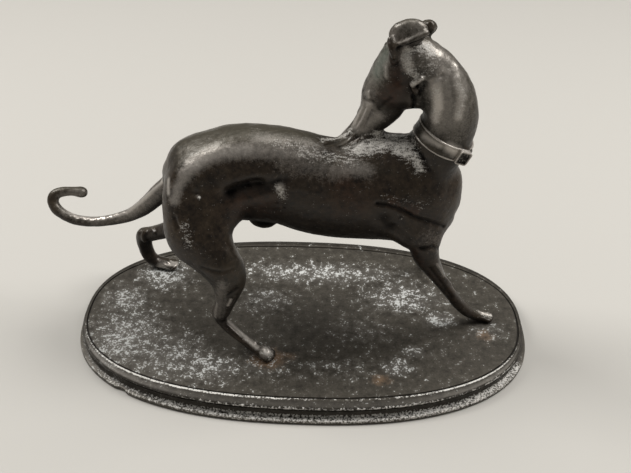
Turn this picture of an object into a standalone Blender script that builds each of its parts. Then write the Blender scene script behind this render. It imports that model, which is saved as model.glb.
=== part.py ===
"""A bronze whippet that turns its head to nip its own back, standing on an oval moulded base.

Metres, +Z up. The dog faces +X and its right side faces -Y. The origin is the middle of the
base's flat underside. The dog with its collar is one casting, and the base is another.
"""

import math

import bmesh
import bpy
from mathutils import Vector

# Sizes of the base, in metres
BASE_LENGTH = 0.2220
BASE_WIDTH = 0.1246
BASE_HEIGHT = 0.0094
BASE_ROUNDNESS = 2.38
LOWER_BAND_HEIGHT = 0.0024
LOWER_BAND_STEP = 0.0021
HOLLOW_DEPTH = 0.0011
BEAD_RADIUS = 0.0013
RIM_AT_SIDES = 0.0052
RIM_AT_ENDS = 0.0017
RIM_LINE_WIDTH = 0.0008
RIM_LINE_DEPTH = 0.0004
BASE_SIDES = 64

# Sizes of the dog, in metres
FIGURE_HEIGHT = 0.160
PAW_GAP = 0.0003
COLLAR_WIDTH = 0.0060
COLLAR_LEAN = 26
COLLAR_DROP = 0.0009
LOCK_TURN = 128
LOCK_DEPTH = 0.0042
LOCK_WIDTH = 0.0062
LOCK_HEIGHT = 0.0066
COLLAR_THICKNESS = 0.0007
COLLAR_RIDGE = 0.0007
FUSE_VOXEL = 0.0008
DETAIL_VOXEL = 0.0006
DOG_FACES = 7400

# The figure is drawn 160 units high, from the top of the base to the tips of the ears
UNIT = FIGURE_HEIGHT / 160
GROUND = BASE_HEIGHT + PAW_GAP

# Each station of a limb: x, y, z, half depth in the plane it bends in, half width across
TRUNK = [(-58, 1, 76, 5, 5), (-55.5, 1, 78.5, 10, 9.5), (-50.5, 1, 81.3, 14.8, 13),
         (-44.6, 0.5, 83.7, 18.4, 15.5), (-31, 0, 84.3, 22.9, 16.5), (-20, 0, 84.4, 24, 16),
         (-6.7, 0, 83, 23.8, 15.8),
         (4.3, 0.5, 79.2, 24.3, 16.8), (15.5, 1, 76.3, 24, 17.6), (26.7, 2, 75.8, 24.4, 18.3),
         (37.9, 3, 75.7, 25, 19), (47, 3, 75.5, 25.5, 19), (56, 3, 75, 24, 18.4), (63, 3, 76, 19.3, 15.8),
         (68, 3, 77, 14, 12), (71.8, 3, 77, 7.5, 7)]
NECK = [(44, 3, 78, 16, 15), (50.5, 2.5, 87, 14.5, 13.5), (57, 2, 96, 13, 12), (61.8, 2, 105.5, 12.3, 11.2),
        (63.6, 2, 115, 11.9, 10.8), (61.6, 2, 124, 11.5, 10.6), (56.8, 2, 132, 11.2, 10),
        (49.4, 2.5, 138.3, 11, 9.6), (42.5, 3.5, 142, 9.8, 8.4)]
HEAD = [(46.5, 3.5, 151.5, 5, 5), (44.3, 4, 147, 7.8, 7.4), (42, 4.2, 140, 9.4, 8.8),
        (38.8, 4.4, 131, 10.2, 9.2),
        (36.3, 4.6, 124, 10.6, 8.2), (34.6, 5.2, 117, 9.8, 6.8), (31.8, 6, 111.8, 7.9, 5.8),
        (29.4, 6.9, 107.6, 6.8, 5.4), (27.6, 7.7, 103.5, 6.8, 6.2), (26.4, 8.2, 100, 7.8, 7.6),
        (25.8, 8.4, 96, 10, 9.5)]
NEAR_HIND_LEG = [(-42, -3, 90, 10, 7), (-43.8, -9, 80, 16.6, 11), (-42.9, -14, 70, 17.4, 11.5),
                 (-42.7, -19, 62.5, 16, 10.8), (-38.6, -22, 57.5, 12.4, 9.8), (-33.6, -25, 51.5, 10.2, 8.6),
                 (-31.2, -26, 45.5, 9, 7.4), (-31.6, -25.5, 38, 6.8, 6), (-34, -23, 27, 4.7, 4.3),
                 (-37.2, -20.5, 18, 4.8, 3.9)]
NEAR_HIND_FOOT = [(-38.4, -20, 16, 3, 3), (-35.6, -21.4, 12.2, 2.8, 2.8), (-29, -24.8, 8, 2.4, 2.5),
                  (-22.4, -27.8, 4.8, 2.5, 2.8), (-17.3, -29.6, 3.2, 3.2, 4), (-13.9, -30.7, 2.6, 2.8, 3.8)]
FAR_HIND_LEG = [(-44, 4, 94, 12, 8), (-46, 10, 82, 15, 11), (-46.5, 15, 68, 14.5, 11), (-48.5, 18, 54, 12, 9),
                (-52.5, 20.5, 43, 9, 7), (-62, 25, 34.2, 6, 5), (-72.5, 30, 26.8, 4.5, 4.2),
                (-81, 33.3, 21.7, 4.1, 3.8), (-85, 34, 19.4, 3.8, 3.3)]
FAR_HIND_FOOT = [(-85, 34, 22, 3, 3), (-84.7, 34, 18.5, 4.4, 3.8), (-84.1, 34, 12, 4.1, 3.6),
                 (-82.3, 34, 5.5, 3.8, 3.6), (-78, 34, 2.8, 2.9, 4), (-71.5, 33.6, 2.2, 2.4, 4.2)]
NEAR_FORE_LEG = [(57, -10, 66, 8, 6.5), (56.5, -11.5, 57, 7.2, 6.2), (57.4, -11.6, 50, 6.4, 5.2),
                 (60.8, -10.6, 42.5, 4.9, 4.2), (65, -8.6, 34, 3.7, 3.3), (71, -5.8, 23.2, 3.2, 3),
                 (76.9, -3, 12.8, 3.2, 3.1), (82, -0.2, 5.8, 3, 3.1), (87.5, 1.2, 2.6, 2.6, 3.6),
                 (92, 2, 1.8, 2.2, 3.8)]
FAR_FORE_LEG = [(56, 12, 68, 9, 6.5), (53, 14, 57, 8, 6.5), (53, 17.5, 48.5, 6, 5), (55, 23, 38, 4.4, 4),
                (57, 29, 26, 3.3, 3.2), (59, 34.5, 14.5, 3.1, 3.1), (60.5, 38.5, 6.5, 2.9, 3),
                (63.5, 40.5, 2.8, 2.6, 3.4), (67.5, 41.5, 1.8, 2.2, 3.6)]
TAIL = [(-54, 1, 80, 6, 5.5), (-61, 2, 74, 5.2, 4.8), (-67, 2.3, 67.6, 4.7, 4.4), (-72.5, 3, 61.8, 4.2, 4),
        (-80, 5, 55.6, 3.5, 3.4), (-88.5, 7, 51, 3, 3), (-98, 8, 48.3, 2.8, 2.8), (-108, 9, 48, 2.9, 2.8),
        (-115, 10.6, 50.2, 3, 3), (-119.4, 12.6, 53.4, 3, 3), (-120.2, 14.6, 57, 2.9, 2.9),
        (-117, 16, 59.2, 2.8, 2.8), (-111, 17, 59.4, 2.6, 2.6), (-108, 17.2, 59, 2.3, 2.3)]

# Each mass of muscle or bone: x, y, z of its middle, half sizes along x, y, z, and its turn about Y
MASSES = [("near haunch", -41.8, -8.5, 81.5, 17.8, 9.8, 17.4, 25),
          ("far haunch", -40, 8, 77, 15, 9, 16, 25),
          ("near shoulder", 54.5, -6.5, 77, 12, 9.5, 19.5, -18),
          ("far shoulder", 54.5, 12.5, 77, 12, 9, 18.5, -18),
          ("near upper arm", 51.8, -11.9, 63.6, 14, 6.6, 9.2, 14),
          ("far upper arm", 51.5, 15, 63.6, 13.5, 6.5, 9, 14),
          ("breastbone", 63.6, 3, 71, 8.5, 9, 9.5, 0), ("near heel", -39.4, -20, 18, 2.2, 2.4, 3.2, 20),
          ("far heel", -86.6, 34, 20.8, 2.2, 2.6, 3, 20), ("sheath", -17.4, -1, 59.2, 7, 3.4, 4.6, 8),
          ("withers", 43, 3, 96, 13, 9, 8, 14), ("near cheek", 40, -0.5, 127.5, 7, 5.5, 7, -20),
          ("far cheek", 40, 10.5, 127.5, 7, 5, 7, -20), ("throat", 46.8, 2.5, 125, 6, 7, 7.2, 0),
          ("near eye", 30.2, -0.6, 125.6, 2, 1.6, 1.5, 0), ("far eye", 30, 11.4, 125.6, 2, 1.6, 1.5, 0),
          ("tail knob", -106.2, 17.3, 58.6, 3.5, 3.4, 3.4, 0),
          ("near hind paw", -15.6, -30.2, 3.1, 4.3, 4.1, 3.3, 0),
          ("far hock", -83.6, 33.4, 21.4, 4.6, 4.2, 4.4, 10)]

# Ears and toes are added after the body is fused, so that they stay crisp
EARS = [("near ear fold", 43.2, -2.2, 154, 8.4, 4, 5.8, -15),
        ("near ear tip", 38.2, -5.2, 147, 2.7, 2.6, 6.3, 8),
        ("far ear", 51, 8, 151.4, 4.7, 3.2, 3.7, -20)]
TOE = 1.65
TOE_SPREAD = 2.1
PAWS = [(-13.6, -30.8, -22), (-70.6, 33.6, -5), (92, 2, 8), (67.6, 41.5, 12)]

# Hollows and ridges of the modelling: points on the skin, reach, and depth (a ridge is negative)
CARVING = [([(-29, -18, 81), (-22, -17, 84)], 2.6, 1.9), ([(-22, -17, 84), (-10, -16, 88)], 2.4, 1.0),
           ([(42, -19, 73), (50, -18.5, 71), (62, -15, 66)], 1.8, 1.4),
           ([(-48, -18, 80), (-48, -18, 80)], 2, 0.8), ([(-30, -30, 44), (-42, -32, 50)], 2, 0.8)]

BRONZE_COLOUR = (0.040, 0.031, 0.025, 1.0)


def place(x, y, z):
    """A point of the figure, in metres above the top of the base."""
    return Vector((x * UNIT, y * UNIT, z * UNIT + GROUND))


def bronze(name, roughness):
    """Dark patinated bronze."""
    material = bpy.data.materials.new(name)
    material.use_nodes = True
    shader = material.node_tree.nodes["Principled BSDF"]
    shader.inputs["Base Color"].default_value = BRONZE_COLOUR
    shader.inputs["Metallic"].default_value = 0.9
    shader.inputs["Roughness"].default_value = roughness
    return material


def object_of(mesh_builder, name, collection, material):
    """Turn a finished bmesh into a named object with its material."""
    mesh = bpy.data.meshes.new(name)
    mesh_builder.to_mesh(mesh)
    mesh_builder.free()
    thing = bpy.data.objects.new(name, mesh)
    thing.data.materials.append(material)
    collection.objects.link(thing)
    return thing


def skin(mesh_builder, rings):
    """Join rings of points, each to the next, and close both ends."""
    loops = [[mesh_builder.verts.new(point) for point in ring] for ring in rings]
    count = len(loops[0])
    for lower, upper in zip(loops, loops[1:]):
        for i in range(count):
            j = (i + 1) % count
            mesh_builder.faces.new((lower[i], lower[j], upper[j], upper[i]))
    mesh_builder.faces.new(list(reversed(loops[0])))
    mesh_builder.faces.new(loops[-1])


def eased(stations, steps):
    """Stations along a smooth curve through the given ones (Catmull-Rom)."""
    ends = [stations[0]] + list(stations) + [stations[-1]]
    result = []
    for p0, p1, p2, p3 in zip(ends, ends[1:], ends[2:], ends[3:]):
        for step in range(steps):
            t = step / steps
            result.append(tuple(
                0.5 * (2 * b + (c - a) * t + (2 * a - 5 * b + 4 * c - d) * t * t
                       + (3 * b - a - 3 * c + d) * t ** 3)
                for a, b, c, d in zip(p0, p1, p2, p3)))
    result.append(tuple(stations[-1]))
    return result


def limb_frames(stations, steps=5):
    """Centre, direction along, direction across and half sizes of each section of a limb."""
    path = eased(stations, steps)
    centres = [place(*station[:3]) for station in path]
    frames = []
    for i, station in enumerate(path):
        along = (centres[min(i + 1, len(path) - 1)] - centres[max(i - 1, 0)]).normalized()
        across = Vector((0, 1, 0)) - along * along.y
        across.normalize()
        frames.append((centres[i], along, across, station[3] * UNIT, station[4] * UNIT))
    return frames


def oval_ring(centre, along, across, deep, wide, sides):
    """One oval section of a limb, square to its length."""
    upright = across.cross(along)
    return [centre + upright * deep * math.sin(2 * math.pi * i / sides)
            + across * wide * math.cos(2 * math.pi * i / sides) for i in range(sides)]


def add_limb(mesh_builder, stations, sides=24):
    """A limb of oval sections, as a closed tube."""
    skin(mesh_builder, [oval_ring(*frame, sides) for frame in limb_frames(stations)])


def add_mass(mesh_builder, x, y, z, half_x, half_y, half_z, turn):
    """An egg-shaped mass, turned about the Y direction by an angle in degrees."""
    made = bmesh.ops.create_uvsphere(mesh_builder, u_segments=24, v_segments=14, radius=1)
    angle = math.radians(turn)
    for vert in made["verts"]:
        size = Vector((vert.co.x * half_x, vert.co.y * half_y, vert.co.z * half_z)) * UNIT
        turned = Vector((size.x * math.cos(angle) + size.z * math.sin(angle), size.y,
                         size.z * math.cos(angle) - size.x * math.sin(angle)))
        vert.co = place(x, y, z) + turned


def add_paw_toes(mesh_builder, x, y, heading):
    """Four round toes side by side at the front of a paw."""
    angle = math.radians(heading)
    ahead = (math.cos(angle), math.sin(angle))
    for i in range(4):
        side = (i - 1.5) * TOE_SPREAD
        reach = 1.2 - 0.5 * abs(i - 1.5) ** 2
        add_mass(mesh_builder, x + ahead[0] * reach - ahead[1] * side, y + ahead[1] * reach + ahead[0] * side,
                 1.5, 2.4, TOE * 0.8, TOE, 0)


def add_collar(mesh_builder):
    """A flat collar round the foot of the neck, with a ridge along each edge and a lock in front."""
    frames = limb_frames(NECK)
    middle = 3 * 5
    centre, _, across, deep, wide = frames[middle]
    lean = math.radians(COLLAR_LEAN)
    along = Vector((math.sin(lean), 0, math.cos(lean)))
    centre = centre - along * COLLAR_DROP
    half = COLLAR_WIDTH / 2
    ridge = COLLAR_THICKNESS + COLLAR_RIDGE
    profile = [(-half, -ridge), (-half, ridge * 0.8), (-half * 0.85, ridge), (-half * 0.6, ridge * 0.9),
               (-half * 0.45, COLLAR_THICKNESS), (half * 0.45, COLLAR_THICKNESS), (half * 0.6, ridge * 0.9),
               (half * 0.85, ridge), (half, ridge * 0.8), (half, -ridge)]
    rings = [oval_ring(centre + along * shift, along, across, deep + rise, wide + rise, 48)
             for shift, rise in profile]
    skin(mesh_builder, rings)
    upright = across.cross(along)
    turn = math.radians(LOCK_TURN)
    spot = centre + upright * deep * math.sin(turn) + across * wide * math.cos(turn)
    outward = (spot - centre).normalized()
    made = bmesh.ops.create_cube(mesh_builder, size=1)
    side = along.cross(outward)
    for vert in made["verts"]:
        vert.co = (spot + outward * vert.co.x * LOCK_DEPTH + side * vert.co.y * LOCK_WIDTH
                   + along * vert.co.z * LOCK_HEIGHT)


def evaluated_copy(thing):
    """The mesh of an object with its modifiers applied."""
    graph = bpy.context.evaluated_depsgraph_get()
    return bpy.data.meshes.new_from_object(thing.evaluated_get(graph))


def fused(mesh_builder, voxel, smoothing, name, collection, material):
    """Fuse overlapping forms into one skin and soften the joins between them."""
    thing = object_of(mesh_builder, name, collection, material)
    remesh = thing.modifiers.new("fuse", "REMESH")
    remesh.mode = "VOXEL"
    remesh.voxel_size = voxel
    if smoothing:
        soften = thing.modifiers.new("soften", "SMOOTH")
        soften.factor = 0.5
        soften.iterations = smoothing
    mesh = evaluated_copy(thing)
    bpy.data.objects.remove(thing)
    result = bmesh.new()
    result.from_mesh(mesh)
    bpy.data.meshes.remove(mesh)
    return result


def distance_to_line(point, start, end):
    """How far a point is from a straight stretch."""
    run = end - start
    if run.length_squared == 0:
        return (point - start).length
    share = max(0.0, min(1.0, (point - start).dot(run) / run.length_squared))
    return (point - start - run * share).length


def carve(mesh_builder):
    """Press the hollows and pull the ridges of the modelling along the skin's normals."""
    mesh_builder.normal_update()
    for points, reach, depth in CARVING:
        line = [place(*point) for point in points]
        limit = reach * UNIT
        for vert in mesh_builder.verts:
            away = min(distance_to_line(vert.co, a, b) for a, b in zip(line, line[1:]))
            if away < 3 * limit:
                vert.co -= vert.normal * depth * UNIT * math.exp(-(away / limit) ** 2)


def build_whippet(collection, material):
    """The dog, cast in one with its collar."""
    soft = bmesh.new()
    for stations in (TRUNK, NECK, HEAD, NEAR_HIND_LEG, NEAR_HIND_FOOT, FAR_HIND_LEG, FAR_HIND_FOOT,
                     NEAR_FORE_LEG, FAR_FORE_LEG, TAIL):
        add_limb(soft, stations)
    for mass in MASSES:
        add_mass(soft, *mass[1:])
    body = fused(soft, FUSE_VOXEL, 16, "soft body", collection, material)
    carve(body)
    for ear in EARS:
        add_mass(body, *ear[1:])
    for x, y, heading in PAWS:
        add_paw_toes(body, x, y, heading)
    add_collar(body)
    whole = fused(body, DETAIL_VOXEL, 2, "whole body", collection, material)
    whippet = object_of(whole, "whippet", collection, material)
    thin = whippet.modifiers.new("fewer faces", "DECIMATE")
    thin.ratio = DOG_FACES / (2 * len(whippet.data.polygons))
    thin.use_collapse_triangulate = True
    mesh = evaluated_copy(whippet)
    whippet.modifiers.clear()
    soles = bmesh.new()
    soles.from_mesh(mesh)
    bpy.data.meshes.remove(mesh)
    cut = bmesh.ops.bisect_plane(soles, geom=soles.verts[:] + soles.edges[:] + soles.faces[:],
                                 plane_co=(0, 0, GROUND), plane_no=(0, 0, 1), clear_inner=True)
    rim = [item for item in cut["geom_cut"] if isinstance(item, bmesh.types.BMEdge)]
    bmesh.ops.edgenet_fill(soles, edges=rim)
    bmesh.ops.triangulate(soles, faces=soles.faces[:])
    bmesh.ops.recalc_face_normals(soles, faces=soles.faces[:])
    soles.to_mesh(whippet.data)
    soles.free()
    whippet.data.shade_smooth()
    return whippet


def base_ring(outset_at_ends, outset_at_sides, height):
    """A ring of the base at a height, set out from the bead at its ends and at its long sides."""
    half_length = BASE_LENGTH / 2 - LOWER_BAND_STEP + outset_at_ends
    half_width = BASE_WIDTH / 2 - LOWER_BAND_STEP + outset_at_sides
    power = 2 / BASE_ROUNDNESS
    ring = []
    for i in range(BASE_SIDES):
        turn = 2 * math.pi * i / BASE_SIDES
        c, s = math.cos(turn), math.sin(turn)
        ring.append(Vector((half_length * math.copysign(abs(c) ** power, c),
                            half_width * math.copysign(abs(s) ** power, s), height)))
    return ring


def base_profile():
    """Outset at the ends, outset at the sides and height of the moulding, from the underside up."""
    band = LOWER_BAND_HEIGHT
    bead_middle = BASE_HEIGHT - BEAD_RADIUS
    outline = [(LOWER_BAND_STEP, 0), (LOWER_BAND_STEP, band * 0.75), (LOWER_BAND_STEP * 0.75, band)]
    hollow_top = bead_middle - BEAD_RADIUS * 0.8
    for i in range(5):
        turn = math.pi * i / 4
        height = band + (hollow_top - band) * (1 - math.cos(turn)) / 2
        outline.append((-HOLLOW_DEPTH * math.sin(turn), height))
    outline.append((BEAD_RADIUS * (math.cos(math.radians(-40)) - 1), bead_middle - BEAD_RADIUS * 0.64))
    profile = [(outset, outset, height) for outset, height in outline]
    for i in range(6):
        turn = math.radians(18 * i)
        profile.append((-RIM_AT_ENDS * (1 - math.cos(turn)), -RIM_AT_SIDES * (1 - math.cos(turn)),
                        bead_middle + BEAD_RADIUS * math.sin(turn)))
    for across, depth in ((0.3, RIM_LINE_DEPTH), (0.7, RIM_LINE_DEPTH), (1, 0)):
        inset = RIM_LINE_WIDTH * across
        profile.append((-RIM_AT_ENDS - inset, -RIM_AT_SIDES - inset, BASE_HEIGHT - depth))
    return profile


def build_base(collection, material):
    """The oval base with its moulded edge."""
    builder = bmesh.new()
    skin(builder, [base_ring(*level) for level in base_profile()])
    bmesh.ops.triangulate(builder, faces=builder.faces[:])
    bmesh.ops.recalc_face_normals(builder, faces=builder.faces[:])
    base = object_of(builder, "base", collection, material)
    base.data.shade_smooth()
    base.data.set_sharp_from_angle(angle=math.radians(35))
    return base


def build():
    """Clear the file, then cast the base and the dog."""
    for thing in list(bpy.data.objects):
        bpy.data.objects.remove(thing)
    collection = bpy.data.collections.new("bronze whippet")
    bpy.context.scene.collection.children.link(collection)
    build_base(collection, bronze("bronze of the base", 0.55))
    build_whippet(collection, bronze("bronze of the dog", 0.45))


build()
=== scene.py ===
import math

import bmesh
import bpy
import numpy as np
from mathutils import Matrix, Vector, noise
from mathutils.bvhtree import BVHTree


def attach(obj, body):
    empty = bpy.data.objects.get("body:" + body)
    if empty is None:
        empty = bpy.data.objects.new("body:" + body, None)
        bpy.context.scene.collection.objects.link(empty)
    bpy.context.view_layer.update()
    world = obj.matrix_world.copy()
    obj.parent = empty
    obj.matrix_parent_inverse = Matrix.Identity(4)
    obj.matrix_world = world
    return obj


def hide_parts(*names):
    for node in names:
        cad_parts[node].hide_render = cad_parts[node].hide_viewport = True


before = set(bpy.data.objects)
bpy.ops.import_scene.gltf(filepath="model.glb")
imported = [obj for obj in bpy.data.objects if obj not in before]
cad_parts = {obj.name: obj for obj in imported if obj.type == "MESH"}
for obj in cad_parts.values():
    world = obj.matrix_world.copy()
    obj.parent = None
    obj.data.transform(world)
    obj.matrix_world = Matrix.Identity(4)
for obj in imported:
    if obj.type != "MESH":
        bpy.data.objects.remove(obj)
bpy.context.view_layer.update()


# The setting
# The bronze stands on matt grey paper between two soft lights, at the left and at the right, with a
# weak one overhead, and is seen from 38 degrees above.

# The camera was fitted to the outline of the base in the photograph
CAMERA_PLACE = Vector((0.023877, -0.329637, 0.317364))
CAMERA_RIGHT = Vector((0.998663, 0.051703, 0.0))
CAMERA_UP = Vector((-0.031832, 0.614838, 0.788011))
CAMERA_AHEAD = Vector((-0.040743, 0.786957, -0.615662))
PHOTO_WIDTH = 631
PHOTO_HEIGHT = 473
PHOTO_FOCAL = 900.0
SENSOR_WIDTH = 36.0

camera_data = bpy.data.cameras.new("camera")
camera_data.sensor_width = SENSOR_WIDTH
camera_data.lens = PHOTO_FOCAL * SENSOR_WIDTH / PHOTO_WIDTH
camera_data.clip_start = 0.02
camera = bpy.data.objects.new("camera", camera_data)
bpy.context.scene.collection.objects.link(camera)
camera.matrix_world = (Matrix.Translation(CAMERA_PLACE)
                       @ Matrix((CAMERA_RIGHT, CAMERA_UP, -CAMERA_AHEAD)).transposed().to_4x4())
bpy.context.scene.camera = camera
bpy.context.scene.view_settings.view_transform = "Standard"


def linear(hex_colour):
    """An sRGB hex colour as linear red, green, blue and alpha."""
    parts = [int(hex_colour[i:i + 2], 16) / 255 for i in (1, 3, 5)]
    return tuple(c / 12.92 if c <= 0.04045 else ((c + 0.055) / 1.055) ** 2.4 for c in parts) + (1.0,)


def add_node(tree, kind, settings, links=()):
    """Add a node, set its values, and link outputs of other nodes to its inputs."""
    made = tree.nodes.new(kind)
    for name, value in settings.items():
        if isinstance(name, int) or name in made.inputs:
            made.inputs[name].default_value = value
        else:
            setattr(made, name, value)
    for source, output, name in links:
        tree.links.new(source.outputs[output], made.inputs[name])
    return made


def new_material(name):
    """A material with an empty tree but for its shader."""
    material = bpy.data.materials.new(name)
    material.use_nodes = True
    return material, material.node_tree, material.node_tree.nodes["Principled BSDF"]


def deselect():
    """Leave nothing selected."""
    for thing in bpy.context.selected_objects:
        thing.select_set(False)


deselect()
bpy.ops.mesh.primitive_plane_add(size=6, location=(0, 0, 0))
floor = bpy.context.active_object
floor.name = "floor"
paper, _, paper_shader = new_material("matt grey background paper")
paper_shader.inputs["Base Color"].default_value = linear("#b6b3ad")
paper_shader.inputs["Roughness"].default_value = 0.75
floor.data.materials.append(paper)

world = bpy.data.worlds.new("studio")
world.use_nodes = True
world.node_tree.nodes["Background"].inputs["Color"].default_value = linear("#f1eee8")
world.node_tree.nodes["Background"].inputs["Strength"].default_value = 0.20
bpy.context.scene.world = world


def soft_light(name, place, target, width, depth, power, colour):
    """A rectangular soft box that points at a place."""
    data = bpy.data.lights.new(name, "AREA")
    data.shape = "RECTANGLE"
    data.size = width
    data.size_y = depth
    data.energy = power
    data.color = linear(colour)[:3]
    light = bpy.data.objects.new(name, data)
    bpy.context.scene.collection.objects.link(light)
    light.location = place
    light.rotation_euler = (Vector(target) - Vector(place)).to_track_quat("-Z", "Y").to_euler()


soft_light("left", (-0.70, 0.20, 0.86), (0, 0, 0.05), 0.45, 0.45, 9.5, "#fffefc")
soft_light("right", (0.66, 0.15, 0.84), (0, 0, 0.05), 0.45, 0.45, 8.5, "#fffefc")
soft_light("overhead", (0.05, 0.30, 1.00), (0, 0, 0.05), 0.70, 0.50, 2.4, "#fffefc")


# The base
# An oval bronze plate, sand cast with a bead at its top edge, a hollow under it and a flared
# band at the foot. The top is worn to a grey-brown and speckled with pale oxidation.

BASE_LENGTH = 0.2220
BASE_WIDTH = 0.1246
BASE_HEIGHT = 0.0094
BASE_ROUNDNESS = 2.38
BAND_HEIGHT = 0.0024
BAND_STEP = 0.0021
HOLLOW_DEPTH = 0.0011
BEAD_RADIUS = 0.0013
RIM_AT_SIDES = 0.0052
RIM_AT_ENDS = 0.0017
LINE_WIDTH = 0.0010
LINE_DEPTH = 0.0005
BASE_SIDES = 320

# The moulding from the foot up: outset at the ends, outset at the long sides, and height
outline = [(BAND_STEP - 0.0002, 0.0), (BAND_STEP, 0.0003), (BAND_STEP, BAND_HEIGHT * 0.72),
           (BAND_STEP * 0.92, BAND_HEIGHT * 0.93), (BAND_STEP * 0.68, BAND_HEIGHT)]
bead_middle = BASE_HEIGHT - BEAD_RADIUS
hollow_top = bead_middle - BEAD_RADIUS * 0.8
for step in range(9):
    turn = math.pi * step / 8
    outline.append((-HOLLOW_DEPTH * math.sin(turn),
                    BAND_HEIGHT + (hollow_top - BAND_HEIGHT) * (1 - math.cos(turn)) / 2))
for step in range(3):
    turn = math.radians(-50 + 17.5 * step)
    outline.append((BEAD_RADIUS * (math.cos(turn) - 1), bead_middle + BEAD_RADIUS * math.sin(turn)))
moulding = [(outset, outset, height) for outset, height in outline]
for step in range(11):
    turn = math.radians(9 * step)
    moulding.append((-RIM_AT_ENDS * (1 - math.cos(turn)), -RIM_AT_SIDES * (1 - math.cos(turn)),
                     bead_middle + BEAD_RADIUS * math.sin(turn)))
for share, depth in ((0.3, LINE_DEPTH), (0.7, LINE_DEPTH), (1, 0)):
    moulding.append((-RIM_AT_ENDS - LINE_WIDTH * share, -RIM_AT_SIDES - LINE_WIDTH * share,
                     BASE_HEIGHT - depth))
edge_rings = len(moulding)
PLATE_RINGS = 44

# The rings of the moulding by number: the foot band, the hollow, the bead's underside, the bead's
# top with the rounded margin, the lip at the margin's inner edge, and the line let in
HOLLOW_RINGS = (5, 13)
UNDER_BEAD_RINGS = (14, 16)
MARGIN_RINGS = (17, 25)
LIP_RINGS = (26, 27)
LINE_RINGS = (28, 29)

deselect()
bpy.ops.mesh.primitive_circle_add(vertices=BASE_SIDES, radius=1, location=(0, 0, 0))
base = bpy.context.active_object
base.name = "cast_base"
bpy.ops.object.mode_set(mode="EDIT")
bpy.ops.mesh.select_all(action="SELECT")
bpy.ops.mesh.edge_face_add()
bpy.ops.mesh.select_mode(type="EDGE")
bpy.ops.mesh.select_all(action="SELECT")
bpy.ops.mesh.region_to_loop()
for step in range(edge_rings + PLATE_RINGS - 1):
    bpy.ops.mesh.extrude_edges_move(TRANSFORM_OT_translate={"value": (0, 0, 1)})
bpy.ops.mesh.edge_face_add()
bpy.ops.mesh.poke()
bpy.ops.object.mode_set(mode="OBJECT")

half_length = BASE_LENGTH / 2 - BAND_STEP
half_width = BASE_WIDTH / 2 - BAND_STEP
inner_length = half_length + moulding[-1][0]
inner_width = half_width + moulding[-1][1]
ring_numbers = np.zeros(len(base.data.vertices))
for vert in base.data.vertices:
    ring = round(vert.co.z)
    ring_numbers[vert.index] = ring
    reach = math.hypot(vert.co.x, vert.co.y)
    turn = math.atan2(vert.co.y, vert.co.x)
    c = math.copysign(abs(math.cos(turn)) ** (2 / BASE_ROUNDNESS), math.cos(turn))
    s = math.copysign(abs(math.sin(turn)) ** (2 / BASE_ROUNDNESS), math.sin(turn))
    if reach < 0.5:
        vert.co = (0, 0, BASE_HEIGHT)
    elif ring < edge_rings:
        at_ends, at_sides, height = moulding[ring]
        vert.co = ((half_length + at_ends) * c, (half_width + at_sides) * s, height)
    else:
        share = 1 - (ring - edge_rings + 1) / (PLATE_RINGS + 1)
        vert.co = (inner_length * share * c, inner_width * share * s, BASE_HEIGHT)

builder = bmesh.new()
builder.from_mesh(base.data)
bmesh.ops.recalc_face_normals(builder, faces=builder.faces[:])
builder.to_mesh(base.data)
builder.free()


def points_of(mesh):
    """The places of a mesh's vertices as an array."""
    flat = np.empty(len(mesh.vertices) * 3)
    mesh.vertices.foreach_get("co", flat)
    return flat.reshape(-1, 3)


def keep_mask(mesh, name, values):
    """Store one number for each vertex, for the material to read."""
    layer = mesh.attributes.new(name, "FLOAT", "POINT")
    layer.data.foreach_set("value", np.clip(values, 0, 1).astype(np.float32))


# A chip in the foot of the band, at the front on the left
CHIP = (-0.0827, -0.0486)
CHIP_SIZE = 0.0032
CHIP_IN = (0.0005, 0.0008, 0.0004)
plate = points_of(base.data)
away = np.hypot(plate[:, 0] - CHIP[0], plate[:, 1] - CHIP[1])
dent = np.exp(-(away / CHIP_SIZE) ** 4) * (plate[:, 2] < BAND_HEIGHT * 1.05)
plate[:, 0] += dent * CHIP_IN[0]
plate[:, 1] += dent * CHIP_IN[1]
plate[:, 2] += dent * CHIP_IN[2] * (plate[:, 2] < 0.001)

# The top isn't quite flat: it was filed by hand
FILED_AWAY = 0.00004
FILED_SWELL = 0.00003
swell = (np.sin(plate[:, 0] * 95 + 1.3) * np.sin(plate[:, 1] * 120 + 0.4)
         + 0.6 * np.sin(plate[:, 0] * 210 - plate[:, 1] * 160))
flat_top = plate[:, 2] > BASE_HEIGHT - 0.00002
plate[:, 2] -= np.where(flat_top, FILED_AWAY + FILED_SWELL * swell, 0)
base.data.vertices.foreach_set("co", plate.ravel())

# Where pale oxidation lies on the top: middle x and y, half sizes, strength, in millimetres
OXIDE = [(-84, -20, 20, 24, 0.85), (-60, -32, 22, 18, 0.75), (-43, -38, 19, 12, 0.78),
         (-74, 27, 14, 12, 0.95), (-16, -34, 16, 12, 0.6), (8, 33, 46, 9, 0.85),
         (50, 16, 22, 14, 0.8), (47, -33, 8, 6, 0.8), (55, -23, 7, 5, 0.7), (68, 0, 8, 6, 0.95),
         (56, 10, 6, 6, 0.9), (92, -7, 10, 8, 0.6), (-20, 10, 16, 12, 0.6),
         (30, -10, 20, 14, 0.45), (-90, 6, 14, 14, 0.75), (20, -35, 30, 12, 0.45)]
oxide = np.full(len(plate), 0.22)
for x, y, rx, ry, strength in OXIDE:
    gap = ((plate[:, 0] * 1000 - x) / rx) ** 2 + ((plate[:, 1] * 1000 - y) / ry) ** 2
    oxide = np.maximum(oxide, strength * np.exp(-gap * 0.7))
keep_mask(base.data, "oxide", oxide)

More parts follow.
